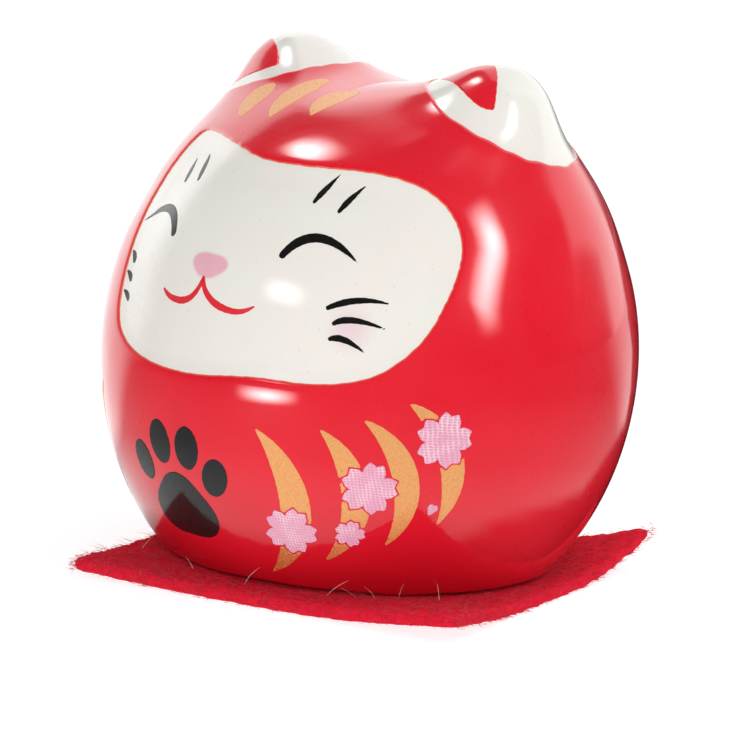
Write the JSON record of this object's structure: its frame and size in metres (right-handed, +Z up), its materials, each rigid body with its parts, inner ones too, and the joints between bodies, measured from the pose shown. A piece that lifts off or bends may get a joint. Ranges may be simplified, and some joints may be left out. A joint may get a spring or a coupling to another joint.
{
  "type": "cat daruma figure on a felt mat",
  "caption": "Small round ceramic daruma figure with a smiling cat face and ears, resting on a square of red felt.",
  "frame": {"origin": "on the felt's underside, under the vertical axis of the figure", "axes": "+Z up, the face looks along -Y, +X to the right as seen from the front"},
  "size_m": [0.0527, 0.0531, 0.0508],
  "materials": {
    "felt": "matte fuzzy felt",
    "porcelain": "clear gloss glaze",
    "red_glaze": "deep gloss",
    "black_print": "gloss printed mark",
    "nose_pink": "gloss printed mark",
    "mouth_red": "gloss printed mark",
    "gold_print": "speckled gold print under gloss",
    "blossom_pink": "gloss printed mark"
  },
  "bodies": {
    "mat": {"felt_mat": "felt"},
    "figure": {"porcelain_body": "porcelain", "red_coat": "red_glaze", "inner_ear_left": "red_glaze", "inner_ear_right": "red_glaze", "eye_left": "black_print", "eye_right": "black_print", "brow_marks_left": "black_print", "brow_marks_right": "black_print", "whiskers_left": "black_print", "whiskers_right": "black_print", "nose": "nose_pink", "mouth": "mouth_red", "forehead_strokes": "gold_print", "gold_crescents_left": "gold_print", "gold_crescents_right": "gold_print", "blossoms_left": "blossom_pink", "blossoms_right": "blossom_pink", "paw_mark": "black_print"}
  },
  "joints": [
    {"name": "figure_lift", "type": "slide", "parent": "mat", "child": "figure", "axis": [0, 0, 1], "range_m": [0, 0.06]}
  ]
}
